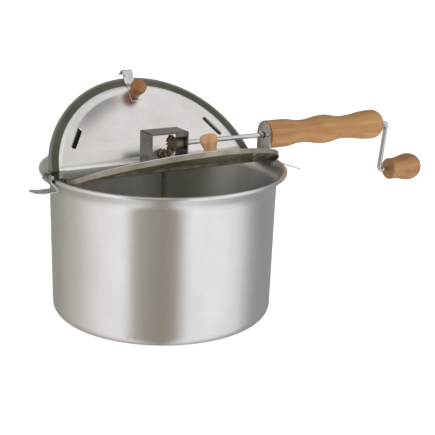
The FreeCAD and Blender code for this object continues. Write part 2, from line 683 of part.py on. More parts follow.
def gear_outline(height, phase):
    """The toothed outline where the gear's cones cut the plane at a given height above the
    cones' common point, 45 degree cones."""
    reach = num("gear_pitch_radius") * 2
    points = []
    teeth = int(num("gear_teeth"))
    for tooth in range(teeth):
        middle = 2 * math.pi * (tooth + phase) / teeth
        flank = tooth_flank(5)
        for radius, angle in [(r, -a) for r, a in flank] + list(reversed(flank)):
            out, up = radius / math.sqrt(2), reach - radius / math.sqrt(2)
            heading = middle + angle * math.sqrt(2)
            scale = height / up
            points.append(V(out * scale * math.cos(heading), out * scale * math.sin(heading), height))
    return Part.makePolygon(points + points[:1])


def gear_shape(phase, hub_back, bore, bore_deep):
    """Bevel gear about +Z with its cones' point at the origin and its back towards +Z."""
    pitch, toe = num("gear_pitch_radius"), num("gear_toe")
    rise, sink = num("gear_addendum") / math.sqrt(2), num("gear_dedendum") / math.sqrt(2)
    hub = num("hub_radius")
    teeth = Part.makeLoft([gear_outline(0.5, phase), gear_outline(2 * pitch, phase)], True, True)
    blank_points = [V(0, 0, (pitch + sink) * toe), V((pitch - sink) * toe, 0, (pitch + sink) * toe),
                    V((pitch + rise) * toe, 0, (pitch - rise) * toe),
                    V(pitch + rise, 0, pitch - rise), V(pitch - sink, 0, pitch + sink),
                    V(0, 0, pitch + sink)]
    blank = Part.Face(Part.makePolygon(blank_points + blank_points[:1])).revolve(V(), Z_AXIS, 360)
    gear = blank.common(teeth)
    shoulder = pitch + sink - num("hub_shoulder")
    collar = Part.makeCone(pitch - sink - num("hub_root"), hub, num("hub_cone"), V(0, 0, shoulder))
    body = gear.fuse([collar, Part.makeCylinder(hub, hub_back - shoulder, V(0, 0, shoulder))])
    hole = Part.makeCylinder(bore, hub_back - bore_deep, V(0, 0, bore_deep))
    pin = Part.makeCylinder(num("cross_pin_radius + hole_gap"), 4 * hub,
                            V(0, -2 * hub, hub_back - num("pin_inset")), Y_AXIS)
    return body.cut([hole, pin]).removeSplitter()


def make_gears():
    """Two equal bevel gears at right angles, in mesh, with their hubs and cross pins. Gives the
    distance of each pin from the point where the two shafts' lines cross."""
    bore, height = num("shaft_radius + hole_gap"), num("axis_height")
    crank_back = num("housing_half - housing_thick - gear_end_gap")
    stir_back = num("axis_height - (%s) - bush_flange_thick - gear_end_gap" % BAR_TOP)
    crank_pin_at, stir_pin_at = crank_back - num("pin_inset"), stir_back - num("pin_inset")
    crank = DOC.addObject("Part::Feature", "crank_gear")
    crank.Shape = gear_shape(0.0, crank_back, bore, num("crank_rod_start"))
    crank.Placement = FreeCAD.Placement(V(0, 0, height), crank_turn().multiply(
        FreeCAD.Rotation(Y_AXIS, 90)))
    stir = DOC.addObject("Part::Feature", "stir_gear")
    stir.Shape = gear_shape(num("stir_gear_phase"), stir_back, bore, height - num("shaft_top"))
    stir.Placement = FreeCAD.Placement(V(0, 0, height), FreeCAD.Rotation(X_AXIS, 180))
    node(crank)
    on_stirrer(stir)
    length = ("-hub_radius + pin_short", "hub_radius - pin_short")
    on_crank(rod_y("crank_gear_pin", str(crank_pin_at), length, "0", "cross_pin_radius"))
    on_stirrer(rod_y("stir_gear_pin", "0", length, "axis_height - %g" % stir_pin_at,
                     "cross_pin_radius"))
    return crank_pin_at, stir_pin_at


def placed(item, place):
    """Set a placement on top of the one that the item's own expressions give, and make it a node."""
    DOC.recompute()
    made = item.Placement
    for letter in "xyz":
        item.setExpression("Placement.Base." + letter, None)
    item.Placement = place.multiply(made)
    return node(item)


def on_stirrer(item):
    """Place a stirrer piece: turned about the shaft as far as the crank leans, so that the
    gears are in mesh."""
    return placed(item, FreeCAD.Placement(V(), FreeCAD.Rotation(Z_AXIS, num("crank_lean"))))


# ---- crank: built along the X axis, then lifted to the axis height and leaned ----

def crank_turn():
    """How far the crank leans from straight down."""
    return FreeCAD.Rotation(X_AXIS, num("crank_lean"))


def on_crank(item):
    """Place a crank piece made about the X axis: turned by the lean, at the axis height."""
    return placed(item, FreeCAD.Placement(V(0, 0, num("axis_height")), crank_turn()))


def make_crank(pin_at):
    """Round rod: straight through housing and handle, cranked down, then out to the knob."""
    body = new_body("crank_rod_bar")
    path = bent_path(new_sketch(body, "XZ_Plane"),
                     [("crank_rod_start", "0"), ("crank_arm_at", "0"),
                      ("crank_arm_at", "-crank_arm"), ("crank_knob_far - rod_end_sink", "-crank_arm")],
                     ["crank_bend", "crank_bend"])
    profile = disc(new_sketch(body, "YZ_Plane", "crank_rod_start"), "0", "0", "shaft_radius")
    DOC.recompute()
    swept(body, profile, path)
    pin_hole = rod_y("crank_rod_pin_hole", str(pin_at), ("-5", "5"), "0",
                     "cross_pin_radius + hole_gap")
    neck = rod_x("crank_rod_neck", ("crank_knob_far - 8", "crank_knob_far - 4"), "0", "-crank_arm",
                 "shaft_radius + 1")
    core = rod_x("crank_rod_core", ("crank_knob_far - 9", "crank_knob_far - 3"), "0", "-crank_arm",
                 "shaft_radius - neck_depth")
    on_crank(cut("crank_rod", body, [pin_hole, cut("crank_rod_turned_down", neck, [core])]))

    knob = new_body("crank_knob_blank")
    near, far = "crank_knob_near", "crank_knob_far"
    profile = outline(new_sketch(knob, "XZ_Plane"), [
        (near, "0"), (near, "crank_knob_small - crank_knob_corner", "crank_knob_corner", 1),
        (near + " + crank_knob_corner", "crank_knob_small"),
        (near + " + 8", "crank_knob_small", "60", -1),
        (near + " + 18", "crank_knob_small + 1.4", "34", 1),
        (near + " + 29", "crank_knob_big", "18", 1),
        (far + " - 5", "crank_knob_big - 3.2", "13", 1),
        (far + " - 0.3", "5.5", "40", 1),
        (far, "0")])
    turn(knob, profile)
    bore = rod_x("crank_knob_bore", (near + " - 1", far + " - rod_end_sink"), "0", "0",
                 "shaft_radius + running_gap")
    recess = rod_x("crank_knob_recess", (far + " - washer_sink - recess_gap", far + " + 1"),
                   "0", "0", "washer_radius + recess_gap")
    knob_cut = cut("crank_knob_turned", knob, [bore, recess])
    knob_cut.Placement.Base = V(0, 0, -num("crank_arm"))
    knob_node = group("crank_knob", [knob_cut])
    on_crank(knob_node)
    ring = rod_x("knob_washer_disc", (far + " - washer_sink", far + " - washer_sink + washer_thick"),
                 "0", "-crank_arm", "washer_radius")
    eye = rod_x("knob_washer_eye", (far + " - washer_sink - 1", far + " - washer_sink + 2"),
                "0", "-crank_arm", "shaft_radius - neck_depth + snug_gap")
    on_crank(cut("knob_washer", ring, [eye]))


# ---- stirrer ----

def make_stirrer(pin_at):
    """Vertical shaft through the crossbar, and a wire that sweeps the base."""
    bar = rod_z("stir_shaft_bar", "0", "0", ("shaft_foot", "shaft_top"), "shaft_radius")
    groove_up = "pot_height + bar_lift - retainer_drop"
    ring = rod_z("stir_shaft_ring", "0", "0",
                 (groove_up + " - retainer_thick - pin_gap", groove_up + " + pin_gap"),
                 "shaft_radius + 1")
    core = rod_z("stir_shaft_core", "0", "0", (groove_up + " - 3", groove_up + " + 1"), "groove_radius")
    pin_hole = rod_y("stir_shaft_pin_hole", "0", ("-5", "5"), "axis_height - %g" % pin_at,
                     "cross_pin_radius + hole_gap")
    wire_hole = rod_x("stir_shaft_wire_hole", ("-5", "5"), "0", "wire_height",
                      "wire_radius + hole_gap")
    on_stirrer(cut("stir_shaft", bar, [cut("stir_shaft_groove", ring, [core]), pin_hole, wire_hole]))
    washer = rod_z("retainer_disc", "0", "0", (groove_up + " - retainer_thick", groove_up),
                   "retainer_radius")
    eye = rod_z("retainer_eye", "0", "0", (groove_up + " - 3", groove_up + " + 2"),
                "groove_radius + snug_gap")
    node(cut("shaft_retainer", washer, [eye]))

    sleeve = rod_z("bush_sleeve", "0", "0", ("pot_height + bar_lift - bush_tail", BAR_TOP),
                   "bush_radius")
    flange = rod_z("bush_collar", "0", "0", (BAR_TOP, BAR_TOP + " + bush_flange_thick"),
                   "bush_flange")
    bore = rod_z("bush_bore", "0", "0", ("pot_height - 5", BAR_TOP + " + 5"),
                 "shaft_radius + running_gap")
    node(cut("shaft_bush", joined("bush_solid", [sleeve, flange]), [bore]))

    body = new_body("stir_wire")
    lean = "wire_reach + wire_lean"
    path = bent_path(new_sketch(body, "XZ_Plane"),
                     [("-(%s)" % lean, "wire_height + wire_upturn"), ("-wire_reach", "wire_height"),
                      ("wire_reach", "wire_height"), (lean, "wire_height + wire_upturn")],
                     ["wire_bend", "wire_bend"])
    circle = disc(new_sketch(body, "YZ_Plane"), "0", "wire_height", "wire_radius")
    DOC.recompute()
    swept(body, circle, path)
    on_stirrer(body)


# ---- handle ----

def make_handle():
    """Turned wooden grip with three swells, bored for the crank rod."""
    body = new_body("handle_blank")
    near, far = "bracket_face", "handle_end"
    swells = [(name, name + "_radius")
              for name in ("swell_near", "waist_near", "swell_mid", "waist_far", "swell_far")]
    profile = outline(new_sketch(body, "XZ_Plane"),
                      [(near, "0"), (near, "grip_near_radius - grip_edge", "grip_edge", 1),
                       (near + " + grip_edge", "grip_near_radius")]
                      + wave(swells)
                      + [("swell_far", "swell_far_radius"),
                         ("grip_end_from", "swell_far_radius", "grip_end_round", 1),
                         (far, "grip_end_radius"), (far, "0")])
    turn(body, profile)
    body.Placement.Base = V(0, 0, num("axis_height"))
    bore = rod_x("handle_bore", ("bracket_face - 1", "handle_end + 1"), "0", "axis_height",
                 "shaft_radius + running_gap")
    pilots = [rod_x("handle_pilot_%d" % (side + 1), ("bracket_face - 1", "bracket_face + screw_length"),
                    "%d * handle_screw_side" % side, "axis_height + handle_screw_up",
                    "screw_radius + hole_gap") for side in (1, -1)]
    node(cut("handle", body, [bore] + pilots))


def make_bracket():
    """Upright steel plate with a round top and a foot riveted to the crossbar."""
    back, face = "bracket_face - bracket_thick", "bracket_face"
    half = "bracket_width / 2"
    crown = "axis_height + bracket_above - bracket_width / 2"
    plate = box("bracket_plate", (back, face), ("-" + half, half), (BAR_TOP, crown))
    top = rod_x("bracket_top", (back, face), "0", crown, half)
    foot = box("bracket_foot_strip", ("%s - bracket_foot" % back, face), ("-" + half, half),
               (BAR_TOP, BAR_TOP + " + bracket_thick"))
    holes = [rod_x("bracket_rod_hole", (back + " - 1", face + " + 1"), "0", "axis_height",
                   "bracket_hole")]
    for side in (1, -1):
        holes.append(rod_x("bracket_screw_hole_%d" % (side + 1), (back + " - 1", face + " + 1"),
                           "%d * handle_screw_side" % side, "axis_height + handle_screw_up",
                           "screw_radius + hole_gap"))
        holes.append(rod_z("bracket_rivet_hole_%d" % (side + 1), RIVET_X, "%d * rivet_side" % side,
                           (BAR_TOP + " - 1", BAR_TOP + " + 5"), "rivet_radius + hole_gap"))
    node(cut("handle_bracket", joined("bracket_solid", [plate, top, foot]), holes))

    rivets, screws = [], []
    for side in (1, -1):
        low, high = "pot_height + bar_lift", BAR_TOP + " + bracket_thick"
        y = "%d * rivet_side" % side
        shank = rod_z("rivet_shank_%d" % (side + 1), RIVET_X, y, (low, high), "rivet_radius")
        head = primitive("Cone", "rivet_head_%d" % (side + 1), at=(RIVET_X, y, high),
                         Radius1="rivet_head", Radius2="rivet_head - rivet_taper",
                         Height="rivet_head_tall")
        tail = primitive("Cone", "rivet_tail_%d" % (side + 1),
                         at=(RIVET_X, y, "%s - rivet_head_tall" % low),
                         Radius1="rivet_head - rivet_taper", Radius2="rivet_head - pin_short",
                         Height="rivet_head_tall")
        rivets.append(joined("rivet_%d" % (side + 1), [shank, head, tail]))
        y, z = "%d * handle_screw_side" % side, "axis_height + handle_screw_up"
        stem = rod_x("screw_stem_%d" % (side + 1), (back, back + " + screw_length"), y, z,
                     "screw_radius")
        cap = primitive("Cone", "screw_cap_%d" % (side + 1), at=(back, y, z), rotation=(Y_AXIS, -90),
                        Radius1="screw_head", Radius2="screw_head - screw_taper",
                        Height="screw_head_tall")
        screws.append(joined("screw_%d" % (side + 1), [stem, cap]))
    node(group("bracket_rivets", rivets))
    node(group("handle_screws", screws))


# ---- rim clips ----

def make_clip(side, word):
    """Latch plate hinged on the crossbar's end: down outside the bead, in under it, then folded
    back out as a thumb tab."""
    body = new_body(word + "_clip_strip")
    leg = "clip_pivot_out + clip_knuckle - clip_thick / 2"
    tab_name = "long_tab" if side > 0 else "short_tab"
    tip = tab_name + "_end"
    corners = [(leg, "clip_pivot_height"), (leg, "clip_leg_foot"), ("clip_grip", "clip_grip_height"),
               ("clip_fold", "clip_fold_height"), (tab_name + "_bow", tab_name + "_bow_height"),
               (tip, tip + "_height")]
    bends = ["1.6", "1.0", "1.2", "14" if side > 0 else "8"]
    path = bent_path(new_sketch(body, "XZ_Plane"), corners, bends)
    profile = outline(new_sketch(body, "XY_Plane", "clip_pivot_height"), [
        (leg + " - clip_thick / 2", "-clip_width / 2"), (leg + " + clip_thick / 2", "-clip_width / 2"),
        (leg + " + clip_thick / 2", "clip_width / 2"), (leg + " - clip_thick / 2", "clip_width / 2")])
    DOC.recompute()
    swept(body, profile, path)
    curl = rod_y(word + "_clip_curl", "clip_pivot_out", ("-clip_width / 2", "clip_width / 2"),
                 "clip_pivot_height", "clip_knuckle")
    tab = "clip_tab_width / 2"
    gaps = [rod_y(word + "_clip_bore", "clip_pivot_out", ("-clip_width", "clip_width"),
                  "clip_pivot_height", "clip_pin_radius + pin_gap"),
            box(word + "_clip_notch", ("clip_pivot_out - 4", "clip_pivot_out + 4"),
                ("-(clip_mid_knuckle + knuckle_gap)", "clip_mid_knuckle + knuckle_gap"),
                ("clip_pivot_height - clip_knuckle - 0.4", "clip_pivot_height + 4"))]
    for edge in (1, -1):
        across = (tab, "clip_width") if edge > 0 else ("-clip_width", "-(%s)" % tab)
        gaps.append(box("%s_clip_side_%d" % (word, edge + 1), ("100", "200"), across,
                        ("100", "clip_tab_from")))
    solid = cut(word + "_clip_trimmed", joined(word + "_clip_joined", [body, curl]), gaps)
    round_end = rod_z(word + "_clip_round", "%s - %s" % (tip, tab), "0", ("100", "200"), tab)
    room = box(word + "_clip_room", ("100", "%s - %s" % (tip, tab)), ("-50", "50"), ("100", "200"))
    clip = shared(word + "_clip", solid, joined(word + "_clip_plan", [round_end, room]))
    pin = rod_y(word + "_clip_pin", "clip_pivot_out", ("-clip_width / 2", "clip_width / 2"),
                "clip_pivot_height", "clip_pin_radius")
    if side < 0:
        clip.Placement = FreeCAD.Placement(V(), FreeCAD.Rotation(Z_AXIS, 180))
        pin.setExpression("Placement.Base.x", full("-clip_pivot_out"))
    node(clip)
    node(pin)


def check_and_write():
    """Refuse a failed object or an unsound shape, then write one file per node."""
    DOC.recompute()
    for item in DOC.Objects:
        if "Invalid" in item.State or "Error" in item.State:
            raise RuntimeError("%s failed: %s" % (item.Label, item.State))
    os.makedirs("parts", exist_ok=True)
    for item in NODES:
        shape = item.Shape
        if shape.isNull() or not shape.isValid() or not shape.Solids:
            raise RuntimeError("%s has no sound shape" % item.Label)
        shape.exportStep(os.path.join("parts", item.Label + ".step"))
        print("%-18s %d solid(s) %9.1f mm3" % (item.Label, len(shape.Solids), shape.Volume))


fill_sheet()
make_pot()
make_crossbar()
for lid_side, lid_word in ((1, "rear"), (-1, "front")):
    make_lid(lid_side, lid_word)
    make_lid_knob(lid_side, lid_word, PANEL_TOP + (" + latch_thick" if lid_side > 0 else ""))
    make_lid_screw(lid_side, lid_word)
make_latch(1, "rear")
make_housing()
crank_pin_at, stir_pin_at = make_gears()
make_crank(crank_pin_at)
make_stirrer(stir_pin_at)
make_handle()
make_bracket()
make_clip(-1, "left")
make_clip(1, "right")
check_and_write()
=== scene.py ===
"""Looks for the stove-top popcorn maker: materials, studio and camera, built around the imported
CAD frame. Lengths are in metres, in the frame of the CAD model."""

import math

import bpy
from mathutils import Matrix, Vector

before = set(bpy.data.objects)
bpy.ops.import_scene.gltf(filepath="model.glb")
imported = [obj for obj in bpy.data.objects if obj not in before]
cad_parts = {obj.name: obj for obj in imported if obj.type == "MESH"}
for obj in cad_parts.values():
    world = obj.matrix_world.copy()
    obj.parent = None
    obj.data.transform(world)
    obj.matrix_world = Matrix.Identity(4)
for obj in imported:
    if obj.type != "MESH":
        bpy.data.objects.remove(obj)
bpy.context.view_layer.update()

MM = 0.001
# ---- places read from the frame ----

HINGE_HEIGHT = 150.55 * MM
HINGE_OFFSET = 16 * MM
REAR_TURN, FRONT_TURN = math.radians(50.5), math.radians(-23.5)
CRANK_HEIGHT = 172.2 * MM
LID_RADIUS = 116 * MM
PANEL_FOOT, PANEL_TOP = 106.5 * MM, 103.4 * MM
PANEL_HINGE_EDGE = HINGE_OFFSET + 7.3 * MM
PANEL_UNDER = HINGE_HEIGHT + 0.4 * MM


# ---- materials ----

class Shade:
    """A new material: one Principled shader, and short calls for the nodes in front of it."""

    def __init__(self, name, **sockets):
        self.material = bpy.data.materials.new(name)
        self.material.use_nodes = True
        self.tree = self.material.node_tree
        self.tree.nodes.clear()
        self.shader = self.tree.nodes.new("ShaderNodeBsdfPrincipled")
        output = self.tree.nodes.new("ShaderNodeOutputMaterial")
        self.tree.links.new(self.shader.outputs["BSDF"], output.inputs["Surface"])
        for socket, value in sockets.items():
            self.feed(self.shader.inputs[socket.replace("_", " ")], value)

    def feed(self, socket, value):
        if isinstance(value, bpy.types.NodeSocket):
            self.tree.links.new(value, socket)
        elif isinstance(value, tuple) and len(value) == 3 and socket.type == "RGBA":
            socket.default_value = (*value, 1)
        else:
            socket.default_value = value

    def set(self, **sockets):
        for socket, value in sockets.items():
            self.feed(self.shader.inputs[socket.replace("_", " ")], value)
        return self

    def add(self, kind, *values, out=0, **settings):
        """Add a node, feed its inputs in order and give one of its outputs."""
        made = self.tree.nodes.new("ShaderNode" + kind)
        for name, setting in settings.items():
            setattr(made, name, setting)
        for socket, value in zip(made.inputs, values):
            if value is not None:
                self.feed(socket, value)
        return made.outputs[out]

    def place(self):
        return self.add("TexCoord", out=3)

    def scaled(self, vector, scale):
        return self.add("VectorMath", vector, scale, operation="MULTIPLY")

    def turned(self, vector, centre, axis, angle):
        return self.add("VectorRotate", vector, centre, axis, angle)

    def noise(self, vector, scale, detail=2.0, roughness=0.5, distortion=0.0):
        made = self.tree.nodes.new("ShaderNodeTexNoise")
        for socket, value in (("Vector", vector), ("Scale", scale), ("Detail", detail),
                              ("Roughness", roughness), ("Distortion", distortion)):
            self.feed(made.inputs[socket], value)
        return made.outputs["Fac"]

    def spread(self, value, low, high, out_low, out_high, smooth=False):
        return self.add("MapRange", value, low, high, out_low, out_high,
                        interpolation_type="SMOOTHSTEP" if smooth else "LINEAR")

    def maths(self, operation, first, second=None):
        return self.add("Math", first, second, operation=operation)

    def blend(self, share, first, second):
        """Colour between two colours."""
        made = self.tree.nodes.new("ShaderNodeMix")
        made.data_type = "RGBA"
        for socket, value in ((made.inputs[0], share), (made.inputs[6], first),
                              (made.inputs[7], second)):
            self.feed(socket, value)
        return made.outputs[2]

    def bump(self, height, distance, strength=1.0):
        made = self.tree.nodes.new("ShaderNodeBump")
        for socket, value in (("Height", height), ("Distance", distance), ("Strength", strength)):
            self.feed(made.inputs[socket], value)
        self.feed(self.shader.inputs["Normal"], made.outputs["Normal"])


def spun_aluminium():
    """Pot: fine lathe lines round the axis, over faint cloudy wear. The lines spread a
    reflection up and down and leave it sharp from side to side."""
    shade = Shade("spun_aluminium", Metallic=1.0, Anisotropic=0.93, Anisotropic_Rotation=0.25)
    place = shade.place()
    flat = shade.scaled(place, (1, 1, 0))
    radius = shade.add("VectorMath", flat, operation="LENGTH", out=1)
    height = shade.add("SeparateXYZ", place, out=2)
    across = shade.add("CombineXYZ", radius, height, 0.0)
    lines_at = shade.add("VectorMath", shade.scaled(across, (3200, 3200, 0)),
                         shade.scaled(flat, (30, 30, 0)), operation="ADD")
    lines = shade.noise(lines_at, 1.0, 3.0, 0.6)
    clouds = shade.noise(shade.scaled(place, (1, 1, 0.45)), 22.0, 4.0, 0.55)
    tone = shade.maths("ADD", shade.maths("MULTIPLY", lines, 0.35),
                       shade.maths("MULTIPLY", clouds, 0.65))
    colour = shade.blend(shade.spread(tone, 0.35, 0.65, 0.0, 1.0),
                         (0.80, 0.785, 0.77), (0.9, 0.895, 0.89))
    shade.set(Base_Color=colour, Roughness=shade.spread(tone, 0.3, 0.7, 0.36, 0.28),
              Tangent=shade.add("Tangent", direction_type="RADIAL", axis="Z"))
    shade.bump(lines, 0.008 * MM, 0.3)
    return shade.material


def lid_sheet(name, side, turn):
    """Half lid: satin panel; a painted highlight on the step round it, an outer band painted dark as
    a painted reflection with a painted highlight along its edge, painted shade and a painted shadow
    on the panel, and a painted reflection of the popcorn on the underside. The place is turned back
    to the closed lid, so the marks keep to its shape."""
    shade = Shade(name)
    closed = shade.turned(shade.place(), (0, side * HINGE_OFFSET, HINGE_HEIGHT), (1, 0, 0), -turn)
    flat = shade.scaled(closed, (1, 1, 0))
    radius = shade.add("VectorMath", flat, operation="LENGTH", out=1)
    split = shade.tree.nodes.new("ShaderNodeSeparateXYZ")
    shade.feed(split.inputs[0], closed)
    ahead = shade.maths("MULTIPLY", split.outputs["Y"], float(side))
    across = shade.maths("MULTIPLY", split.outputs["X"], float(side))
    band = shade.spread(radius, PANEL_FOOT - 0.5 * MM, PANEL_FOOT + 0.7 * MM, 0.0, 1.0, True)
    rolled = shade.noise(shade.scaled(closed, (9, 1400, 1400)), 1.0, 3.0, 0.6)
    clouds = shade.noise(closed, 18.0, 4.0, 0.6)

    def ramp(value, start, stop):
        return shade.spread(value, start, stop, 0.0, 1.0, True)

    def both(first, second):
        return shade.maths("MULTIPLY", first, second)

    # step up from the band round the arc, and up from the hinge; it gets a painted highlight below
    inner = shade.maths("SUBTRACT", 1.0, band)
    arc_step = both(ramp(radius, PANEL_TOP - 0.8 * MM, PANEL_TOP), inner)
    hinge_step = ramp(ahead, PANEL_HINGE_EDGE + 0.3 * MM, PANEL_HINGE_EDGE - 0.3 * MM)
    step = shade.maths("MAXIMUM", arc_step, both(hinge_step, inner))

    # painted shade just inside the step, on one side of the latch: a painted dark reflection
    heading = shade.maths("ARCTAN2", ahead, across)
    painted_shade_ring = both(ramp(radius, 76 * MM, 95 * MM), ramp(radius, 98.5 * MM, 96.5 * MM))
    painted_shade_arc = both(ramp(heading, math.radians(93), math.radians(110)),
                     ramp(heading, math.radians(150), math.radians(126)))
    painted_shade = both(painted_shade_ring, painted_shade_arc)

    bright = shade.blend(shade.spread(clouds, 0.35, 0.7, 0.0, 1.0),
                         (0.74, 0.715, 0.69), (0.88, 0.865, 0.86))
    # painted shade darkens the panel there
    panel = shade.blend(both(painted_shade, 0.8), bright, (0.27, 0.265, 0.255))
    # painted highlight: the step painted near white, standing in for the light it reflects
    panel = shade.blend(step, panel, (0.97, 0.965, 0.96))
    # outer band painted dark as a painted dark reflection of the surroundings
    tarnish_and_band_shade = shade.blend(shade.spread(clouds, 0.35, 0.65, 0.0, 1.0),
                       (0.105, 0.10, 0.08), (0.16, 0.153, 0.128))
    # painted highlight along the outer edge of the band
    band_edge_highlight = ramp(radius, LID_RADIUS - 3.2 * MM, LID_RADIUS - 1.2 * MM)
    top = shade.blend(band, panel, shade.blend(band_edge_highlight, tarnish_and_band_shade, (0.27, 0.265, 0.25)))
    # painted shadow: the sheet below the panel along the hinge painted dark
    hinge_shadow = both(both(inner, ramp(split.outputs["Z"], PANEL_UNDER, PANEL_UNDER - 0.5 * MM)),
                  shade.maths("SUBTRACT", 1.0, step))
    top = shade.blend(hinge_shadow, top, (0.09, 0.085, 0.072))

    # the underside is what faces down once the lid is turned back
    normal = shade.turned(shade.add("NewGeometry", out=1), (0, 0, 0), (1, 0, 0), -turn)
    inside = shade.spread(shade.add("SeparateXYZ", normal, out=2), 0.1, -0.1, 0.0, 1.0)
    # painted reflection of the popcorn: mottled olive and brown on the underside
    blotches = shade.noise(shade.scaled(closed, (1, 0.8, 1)), 55.0, 2.0, 0.5)
    popcorn_reflection = shade.blend(ramp(blotches, 0.34, 0.66), (0.30, 0.26, 0.145), (0.58, 0.54, 0.40))
    dulled = both(shade.maths("MAXIMUM", band, step), 0.14)
    # less metal on the step and the underside, so their painted highlight and painted reflection
    # show in diffuse light
    painted_light_share = shade.maths("MAXIMUM", both(step, 0.6), both(inside, 0.45))
    shade.set(Base_Color=shade.blend(inside, top, popcorn_reflection),
              Roughness=shade.maths("ADD", shade.spread(rolled, 0.3, 0.7, 0.26, 0.31), dulled),
              Metallic=shade.maths("SUBTRACT", 1.0, painted_light_share))
    shade.bump(rolled, 0.008 * MM, 0.15)
    return shade.material


def satin_steel(name, dark, light, rough=0.3, grain=(12, 900, 900)):
    """Rolled steel strip with fine lines along one direction and faint smudges."""
    shade = Shade(name, Metallic=1.0)
    place = shade.place()
    lines = shade.noise(shade.scaled(place, grain), 1.0, 3.0, 0.6)
    smudges = shade.noise(place, 70.0, 4.0, 0.6)
    tone = shade.maths("ADD", shade.maths("MULTIPLY", lines, 0.35),
                       shade.maths("MULTIPLY", smudges, 0.65))
    shade.set(Base_Color=shade.blend(shade.spread(tone, 0.35, 0.65, 0.0, 1.0), dark, light),
              Roughness=shade.spread(smudges, 0.3, 0.7, rough - 0.06, rough + 0.08))
    shade.bump(lines, 0.01 * MM, 0.3)
    return shade.material


def polished_steel(name, colour, rough=0.12):
    """Plated bar and fasteners: bright, with faint draw marks."""
    shade = Shade(name, Metallic=1.0)
    place = shade.place()
    marks = shade.noise(shade.scaled(place, (60, 700, 700)), 1.0, 3.0, 0.6)
    darker = tuple(0.82 * part for part in colour)
    shade.set(Base_Color=shade.blend(shade.spread(marks, 0.35, 0.65, 0.0, 1.0), darker, colour),
              Roughness=shade.spread(marks, 0.3, 0.7, rough - 0.03, rough + 0.05))
    shade.bump(marks, 0.01 * MM, 0.15)
    return shade.material


def cast_zinc():
    """Gears: pitted casting, tarnished brown in the hollows and rubbed on the crests."""
    shade = Shade("cast_zinc", Metallic=0.85)
    place = shade.place()
    pits = shade.noise(place, 900.0, 4.0, 0.65)
    stains = shade.noise(place, 160.0, 4.0, 0.6)
    crest = shade.spread(shade.add("NewGeometry", out=7), 0.48, 0.56, 0.0, 1.0)
    tarnish_and_band_shade = shade.blend(shade.spread(stains, 0.35, 0.65, 0.0, 1.0),
                       (0.10, 0.075, 0.045), (0.22, 0.18, 0.12))
    shade.set(Base_Color=shade.blend(crest, tarnish_and_band_shade, (0.38, 0.33, 0.25)),
              Roughness=shade.spread(stains, 0.3, 0.7, 0.42, 0.6))
    shade.bump(pits, 0.08 * MM, 0.5)
    return shade.material


def turned_brass():
    shade = Shade("turned_brass", Metallic=1.0)
    marks = shade.noise(shade.scaled(shade.place(), (100, 100, 2500)), 1.0, 2.0, 0.5)
    shade.set(Base_Color=shade.blend(marks, (0.62, 0.45, 0.2), (0.8, 0.62, 0.33)),
              Roughness=shade.spread(marks, 0.3, 0.7, 0.22, 0.34))
    shade.bump(marks, 0.01 * MM, 0.3)
    return shade.material


def varnished_wood(name, dark, light, centre, axis=(0, 1, 0), angle=0.0):
    """Turned beech under satin varnish. The grain runs along X once the place is turned by
    the angle about the axis through the centre."""
    shade = Shade(name, Coat_Weight=0.3, Coat_Roughness=0.28)
    place = shade.turned(shade.place(), centre, axis, angle)
    bent = shade.noise(shade.scaled(place, (9, 26, 26)), 1.0, 2.0, 0.5)
    rings_at = shade.add("VectorMath", shade.scaled(place, (5, 130, 130)),
                         shade.add("CombineXYZ", 0.0, bent, bent), operation="ADD")
    rings = shade.noise(rings_at, 1.0, 2.0, 0.5, 0.3)
    fibres = shade.noise(shade.scaled(place, (45, 1500, 1500)), 1.0, 3.0, 0.6)
    flecks = shade.noise(shade.scaled(place, (240, 1900, 1900)), 1.0, 1.0, 0.5)
    tone = shade.maths("ADD", shade.maths("MULTIPLY", rings, 0.62),
                       shade.maths("MULTIPLY", fibres, 0.38))
    grain = shade.blend(shade.spread(tone, 0.34, 0.64, 0.0, 1.0), dark, light)
    browned = tuple(0.55 * part for part in dark)
    shade.set(Base_Color=shade.blend(shade.spread(flecks, 0.64, 0.73, 0.0, 0.5), grain, browned),
              Roughness=shade.spread(fibres, 0.3, 0.7, 0.4, 0.52))
    shade.bump(fibres, 0.02 * MM, 0.2)
    return shade.material


def dress(material, *names):
    for name in names:
        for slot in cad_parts[name].material_slots:
            slot.material = material


UPRIGHT = (0, 1, 0)
dress(spun_aluminium(), "pot")
dress(lid_sheet("rear_lid_sheet", 1, REAR_TURN), "rear_lid")
dress(lid_sheet("front_lid_sheet", -1, FRONT_TURN), "front_lid")
dress(satin_steel("bar_steel", (0.09, 0.086, 0.066), (0.33, 0.32, 0.285), 0.18), "crossbar")
dress(satin_steel("housing_steel", (0.11, 0.106, 0.092), (0.28, 0.27, 0.245), 0.24,
                  (900, 20, 900)), "gear_housing")
dress(satin_steel("bracket_steel", (0.46, 0.43, 0.39), (0.78, 0.75, 0.71), 0.34), "handle_bracket")
dress(satin_steel("spring_steel", (0.5, 0.49, 0.48), (0.78, 0.78, 0.78), 0.18),
      "left_clip", "right_clip", "rear_lid_latch")
dress(polished_steel("rod_steel", (0.72, 0.715, 0.72), 0.09), "crank_rod", "stir_shaft", "stir_wire")
dress(polished_steel("pin_steel", (0.5, 0.49, 0.47), 0.25), "rear_hinge_pin", "front_hinge_pin",
      "left_clip_pin", "right_clip_pin", "crank_gear_pin", "stir_gear_pin", "shaft_retainer")
dress(polished_steel("fastener_steel", (0.82, 0.81, 0.8)), "handle_screws", "bracket_rivets",
      "rear_lid_screw", "front_lid_screw", "knob_washer")
dress(cast_zinc(), "crank_gear", "stir_gear")
dress(turned_brass(), "shaft_bush")
dress(varnished_wood("handle_wood", (0.29, 0.13, 0.036), (0.46, 0.245, 0.083),
                     (0, 0, CRANK_HEIGHT)), "handle")
dress(varnished_wood("crank_knob_wood", (0.24, 0.11, 0.034), (0.37, 0.195, 0.072),
                     (0, 0, 0.1)), "crank_knob")
